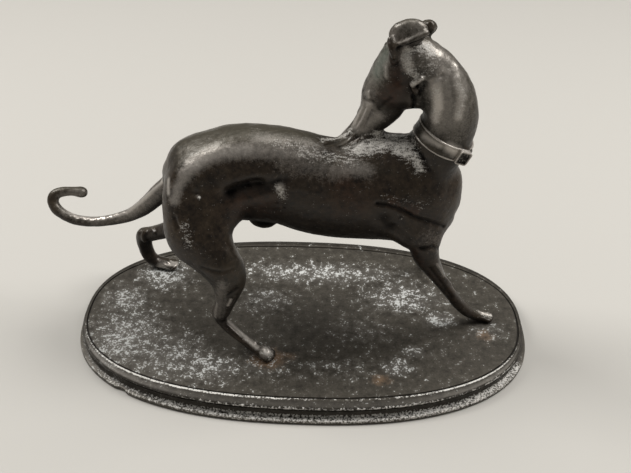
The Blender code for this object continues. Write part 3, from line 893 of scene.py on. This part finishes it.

# Pale metal where it is rubbed, and painted highlights and sheen: the ridges of the tail, the collar and
# the toes are worn pale, and the strokes on the haunch, the back, the shoulder, the neck, the head, the
# ear's roll and the legs are painted highlights
WEAR_AND_HIGHLIGHTS = [
    # The haunch, the rump and the flank
    ([(184, 176), (191, 168), (205, 158.5), (226, 152.5), (250, 150)], 3.4, 0.56),
    ([(174, 200), (178, 188), (184, 176)], 2.8, 0.5),
    ([(168.5, 180), (168.5, 193)], 1.2, 0.8),
    ([(280, 187.5)], 2.2, 0.6),
    # The back
    ([(245, 151), (278, 152), (300, 154)], 4.0, 0.4),
    ([(262, 142), (290, 149), (310, 154)], 6.0, 0.3),
    ([(285, 161), (325, 168)], 6.0, 0.24),
    # The shoulder and the sleeve
    ([(334, 172), (350, 168), (366, 170)], 4.4, 0.34),
    ([(426, 236), (438, 241)], 5.0, 0.14),
    # The neck and the throat
    ([(436, 84), (438.5, 104), (435, 119)], 3.0, 0.8),
    ([(438, 96), (438.5, 108)], 2.6, 1.0),
    ([(456, 78), (461, 97), (458, 117)], 2.4, 0.85),
    ([(460, 88), (462, 98)], 2.6, 0.85),
    ([(438, 58), (450, 85), (448, 120)], 10.0, 0.36),
    ([(440, 52), (455, 68), (465, 88)], 4.0, 0.42),
    ([(412, 85), (423, 77.5)], 1.1, 0.8),
    # The head and the ears
    ([(368, 105), (361, 116), (356, 125)], 3.2, 0.68),
    ([(378, 116), (362, 128)], 3.4, 0.45),
    ([(405, 52), (409, 66)], 3.0, 0.6),
    ([(384, 60), (374, 78), (367, 94)], 5.0, 0.26),
    ([(386, 66), (386, 76)], 1.4, 0.45),
    ([(368.4, 92.5), (368.6, 97.5)], 0.8, 0.7),
    ([(394, 32), (410, 26), (422, 29)], 5.0, 0.22),
    ([(399, 43), (412, 38), (426, 31.5)], 0.6, 0.4),
    # The collar
    ([(449, 147), (457, 153)], 2.4, 0.9),
    ([(424, 136), (440, 145)], 1.8, 0.62),
    # The tail
    ([(162, 181), (151, 192.5), (140, 202), (128, 211)], 1.3, 1.0),
    ([(127, 212), (111, 216.3), (93, 218.8), (76, 215.5), (64, 208)], 1.2, 1.0),
    ([(160, 188), (148, 199), (130, 212), (95, 219), (66, 210), (66, 200), (80, 193)], 4.0, 0.3),
    # The legs
    ([(222, 285), (219, 316)], 3.0, 0.28),
    ([(231, 299), (227.5, 306)], 0.6, 0.8),
    ([(217, 303), (215, 317)], 1.0, 0.5),
    ([(437, 264), (444, 276)], 0.8, 0.35),
    ([(229, 322), (243, 335), (257, 347)], 1.3, 1.0),
    # The paws
    ([(267, 351)], 3.0, 0.9),
    ([(480, 311.5), (491, 314.5)], 1.1, 0.85),
    ([(160, 266), (178, 264)], 1.6, 0.9)
]
# Worn pale metal and painted highlights, in one mask
rubbed = painted(WEAR_AND_HIGHLIGHTS)
# The collar is made pale all over, partly worn and partly painted highlight, less so on the lock's face
COLLAR_WEAR_AND_HIGHLIGHT = 0.85
LOCK_FACE_WEAR_AND_HIGHLIGHT = 0.1
LOCK_FACE_PAINTED_SHADE = 0.8
rubbed[cast_points:] = COLLAR_WEAR_AND_HIGHLIGHT
unturned = np.array(lock_turn.inverted())
local = skin[cast_points:] @ unturned[:3, :3].T + unturned[:3, 3]
in_lock = local[:, 0] > LOCK_SIZE[0] * 0.2
for axis in (1, 2):
    in_lock &= np.abs(local[:, axis]) < LOCK_SIZE[axis] / 2 - LOCK_RIM * 0.95
rubbed[cast_points:][in_lock] = LOCK_FACE_WEAR_AND_HIGHLIGHT
keep_mask(dog.data, "rubbed", rubbed)

# Painted shade: the skin is made near black where it sees little of the sky, below and in the hollows, and
# along the creases given below
sky = open_sky()
hollow = bend_of_skin(4)
CREASE_SHADE = [
    # The flank and the belly
    ([(231, 192), (238, 188), (248, 185)], 2.7, 1.0),
    ([(248, 185), (260, 183.4), (278, 181)], 2.0, 0.75),
    ([(240, 188), (276, 182)], 4.0, 0.45),
    ([(248, 218), (262, 224), (272, 223)], 4.0, 1.0),
    ([(290, 230), (320, 238), (380, 240)], 5.0, 0.6),
    # The chest and the sleeve
    ([(377, 203.4), (387, 204.4), (398, 208.2), (405, 211.6), (412.5, 215.8), (428, 221),
      (436, 223.6), (444, 226.8)], 0.8, 0.45),
    ([(385, 219), (389, 227)], 3.8, 0.7),
    ([(404, 241), (425, 249), (442, 249.5)], 1.8, 0.6),
    ([(438, 195), (449, 230)], 9.0, 0.28),
    ([(430, 163), (436, 178)], 2.4, 0.35),
    # The neck and the edge of the collar
    ([(408, 133), (412, 144), (419, 153), (425, 160)], 1.3, 0.7),
    ([(413.5, 95), (414.5, 102), (412.5, 110)], 1.4, 1.0),
    ([(424.5, 83), (422, 90), (417, 95)], 0.9, 0.9),
    # The ear, the eye and the mouth
    ([(399, 47), (406, 45), (413, 42), (421, 38)], 1.0, 0.9),
    ([(365, 100), (367, 102), (370, 102.6)], 0.7, 0.6),
    ([(391, 98.3), (385.8, 102)], 0.8, 0.5),
    # The legs
    ([(202, 267.7), (213, 270.3), (220, 271.7)], 1.0, 0.35),
    ([(238, 288), (230, 293), (224, 296)], 1.3, 0.7),
    ([(234, 304), (230, 316)], 1.1, 0.6),
    ([(416, 258), (430, 275), (442, 296)], 2.2, 0.6),
    ([(432, 264), (455, 298), (468, 310)], 3.6, 0.34),
    ([(143, 236), (150, 232)], 1.0, 0.5)
]
crease_shade = painted(CREASE_SHADE)
painted_shade = np.maximum(np.clip(1.0 - sky * 2.0, 0, 1) * 0.85, crease_shade) + hollow * 1.5
# Painted shade on the lock's sunk face, none on the rest of the collar
painted_shade[cast_points:] = np.where(in_lock, LOCK_FACE_PAINTED_SHADE, 0.0)
keep_mask(dog.data, "painted_shade", painted_shade)

# A dull grey film on the neck, the collar, the head, the tail and the shank, and painted light: the skin
# that faces the open sky is made olive grey, as if lit from above
DULL_FILM = [
    # The neck and the collar
    ([(442, 50), (455, 75), (452, 100), (447, 122)], 13.0, 0.75),
    ([(425, 135), (450, 152)], 5.0, 0.7),
    # The head
    ([(385, 54), (373, 80)], 6.0, 0.8),
    ([(398, 25), (420, 28)], 6.0, 0.55),
    ([(362, 112), (352, 127)], 3.4, 0.8),
    ([(380, 110), (362, 126)], 5.0, 0.5),
    # The tail and the shank
    ([(70, 195), (60, 205), (90, 218), (130, 210)], 5.0, 0.5),
    ([(238, 270), (226, 310)], 8.0, 0.25)
]
grey = painted(DULL_FILM)
# Painted light: the more sky a point sees, the more olive grey it is made
keep_mask(dog.data, "film_and_top_light", np.maximum(np.clip((sky - 0.60) * 2.6, 0, 1), grey))

# Warm brown, where the patina is thin, and a little verdigris on the forehead
WARM = [
    # The cheek
    ([(393, 66), (398, 84), (388, 98)], 4.5, 0.8),
    # The ribs, the flank and the chest
    ([(345, 185), (350, 205)], 8.0, 0.45),
    ([(245, 205), (262, 208)], 8.0, 0.7),
    ([(392, 203), (416, 211)], 2.4, 0.9),
    # The foreleg
    ([(415, 252), (420, 263)], 2.2, 1.0),
    ([(430, 270), (455, 300)], 2.0, 0.4)
]
warm = painted(WARM)
keep_mask(dog.data, "warm", warm)
keep_mask(dog.data, "verdigris", painted([([(385, 56), (377, 72)], 3.4, 0.8)]))

# Bronze with a dark brown patina under wax: brown on the sides, with painted shade that makes it almost
# black in the hollows and below, painted light and a dull film that make it olive grey on top, pale where
# it is rubbed and where highlights are painted, and dust in fine specks, some of them painted highlights.
CLOUD = 0.0070
BLOTCH = 0.0019
GRAIN = 0.0006
STREAK = 0.0010
cast, tree, shader = new_material("dark brown waxed bronze patina")
where = add_node(tree, "ShaderNodeTexCoord", {})
clouds = add_node(tree, "ShaderNodeTexNoise", {"Scale": 1 / CLOUD, "Detail": 4.0, "Roughness": 0.6},
                  [(where, "Object", "Vector")])
blotch = add_node(tree, "ShaderNodeTexNoise", {"Scale": 1 / BLOTCH, "Detail": 3.0, "Roughness": 0.6},
                  [(where, "Object", "Vector")])
grain = add_node(tree, "ShaderNodeTexNoise", {"Scale": 1 / GRAIN, "Detail": 2.0, "Roughness": 0.6},
                 [(where, "Object", "Vector")])
both_noises = add_node(tree, "ShaderNodeMath", {"operation": "ADD"}, [(clouds, 0, 0), (blotch, 0, 1)])
cloud_mix = add_node(tree, "ShaderNodeMapRange", {1: 0.72, 2: 1.28, 3: 0.0, 4: 1.0}, [(both_noises, 0, 0)])
patina = add_node(tree, "ShaderNodeMix", {"data_type": "RGBA", 6: linear("#1b140e"), 7: linear("#3d3226")},
                  [(cloud_mix, 0, 0)])
# Painted light on top, and the dull grey film, mixed in as olive grey
film_and_top_light_read = add_node(tree, "ShaderNodeAttribute", {"attribute_name": "film_and_top_light"})
film_show = add_node(tree, "ShaderNodeMath", {"operation": "MULTIPLY", 1: 0.85}, [(film_and_top_light_read, "Fac", 0)])
filmed = add_node(tree, "ShaderNodeMix", {"data_type": "RGBA", 7: linear("#4b473c")},
                  [(film_show, 0, 0), (patina, 2, 6)])
warm_read = add_node(tree, "ShaderNodeAttribute", {"attribute_name": "warm"})
warm_show = add_node(tree, "ShaderNodeMath", {"operation": "MULTIPLY"},
                     [(warm_read, "Fac", 0), (cloud_mix, 0, 1)])
warmed = add_node(tree, "ShaderNodeMix", {"data_type": "RGBA", 7: linear("#4a2e1f")},
                  [(warm_show, 0, 0), (filmed, 2, 6)])
green_read = add_node(tree, "ShaderNodeAttribute", {"attribute_name": "verdigris"})
green_show = add_node(tree, "ShaderNodeMath", {"operation": "MULTIPLY"},
                      [(green_read, "Fac", 0), (clouds, 0, 1)])
greened = add_node(tree, "ShaderNodeMix", {"data_type": "RGBA", 7: linear("#5c7267")},
                   [(green_show, 0, 0), (warmed, 2, 6)])
# Painted shade: the patina is mixed to near black in the creases, the hollows and below
painted_shade_read = add_node(tree, "ShaderNodeAttribute", {"attribute_name": "painted_shade"})
painted_shade_mix = add_node(tree, "ShaderNodeMix", {"data_type": "RGBA", 7: linear("#070504")},
                     [(painted_shade_read, "Fac", 0), (greened, 2, 6)])
# Pale metal where it is worn, and painted highlights
wear_and_highlight_read = add_node(tree, "ShaderNodeAttribute", {"attribute_name": "rubbed"})
wear_and_highlight_break = add_node(tree, "ShaderNodeMath", {"operation": "ADD"}, [(blotch, 0, 0), (grain, 0, 1)])
wear_and_highlight_sum = add_node(tree, "ShaderNodeMath", {"operation": "MULTIPLY_ADD", 1: 0.32},
                   [(wear_and_highlight_break, 0, 0), (wear_and_highlight_read, "Fac", 2)])
wear_and_highlight_show = add_node(tree, "ShaderNodeMapRange", {1: 0.40, 2: 1.22, 3: 0.0, 4: 1.0}, [(wear_and_highlight_sum, 0, 0)])
pale_metal_and_highlight = add_node(tree, "ShaderNodeMix", {"data_type": "RGBA", 7: linear("#beb7af")},
                        [(wear_and_highlight_show, 0, 0), (painted_shade_mix, 2, 6)])
# Pale dust, and pale specks painted as highlights
dust_and_highlight_read = add_node(tree, "ShaderNodeAttribute", {"attribute_name": "dust_and_highlights"})
drawn_out = add_node(tree, "ShaderNodeMapping", {"Scale": (0.35, 1.0, 1.0)}, [(where, "Object", "Vector")])
streaks = add_node(tree, "ShaderNodeTexNoise", {"Scale": 1 / STREAK, "Detail": 2.0, "Roughness": 0.6},
                   [(drawn_out, "Vector", "Vector")])
dust_and_highlight_grain = add_node(tree, "ShaderNodeMath", {"operation": "MULTIPLY_ADD", 1: 0.9},
                      [(streaks, 0, 0), (grain, 0, 2)])
dust_and_highlight_sum = add_node(tree, "ShaderNodeMath", {"operation": "MULTIPLY_ADD", 1: 0.56},
                    [(dust_and_highlight_read, "Fac", 0), (dust_and_highlight_grain, 0, 2)])
dust_and_highlight_show = add_node(tree, "ShaderNodeMapRange", {1: 1.20, 2: 1.56, 3: 0.0, 4: 0.95}, [(dust_and_highlight_sum, 0, 0)])
dusted_and_highlit = add_node(tree, "ShaderNodeMix", {"data_type": "RGBA", 7: linear("#cfcbc4")},
                  [(dust_and_highlight_show, 0, 0), (pale_metal_and_highlight, 2, 6)])
tree.links.new(dusted_and_highlit.outputs[2], shader.inputs["Base Color"])
shine = add_node(tree, "ShaderNodeMapRange", {1: 0.0, 2: 1.0, 3: 0.35, 4: 0.65}, [(wear_and_highlight_show, 0, 0)])
bare = add_node(tree, "ShaderNodeMath", {"operation": "SUBTRACT", "use_clamp": True},
                [(shine, 0, 0), (dust_and_highlight_show, 0, 1)])
# The painted shade also makes the metal more metallic and rougher
metal = add_node(tree, "ShaderNodeMath", {"operation": "MAXIMUM"}, [(bare, 0, 0), (painted_shade_read, "Fac", 1)])
tree.links.new(metal.outputs[0], shader.inputs["Metallic"])
sheen = add_node(tree, "ShaderNodeMapRange", {1: 0.3, 2: 0.7, 3: 0.28, 4: 0.46}, [(blotch, 0, 0)])
dull = add_node(tree, "ShaderNodeMath", {"operation": "MULTIPLY_ADD", 1: 0.35},
                [(dust_and_highlight_show, 0, 0), (sheen, 0, 2)])
rough = add_node(tree, "ShaderNodeMath", {"operation": "MULTIPLY_ADD", 1: 0.30},
                 [(painted_shade_read, "Fac", 0), (dull, 0, 2)])
tree.links.new(rough.outputs[0], shader.inputs["Roughness"])
shader.inputs["Specular IOR Level"].default_value = 0.4
shader.inputs["Coat Weight"].default_value = 0.12
shader.inputs["Coat Roughness"].default_value = 0.25
skin_relief = add_node(tree, "ShaderNodeBump", {"Strength": 0.7, "Distance": 0.0002},
                       [(blotch, 0, "Height")])
fine = add_node(tree, "ShaderNodeBump", {"Strength": 0.5, "Distance": 0.00007},
                [(grain, 0, "Height"), (skin_relief, 0, "Normal")])
tree.links.new(fine.outputs[0], shader.inputs["Normal"])
tree.links.new(fine.outputs[0], shader.inputs["Coat Normal"])
dog.data.materials.clear()
dog.data.materials.append(cast)
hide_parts("whippet")
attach(dog, "root")
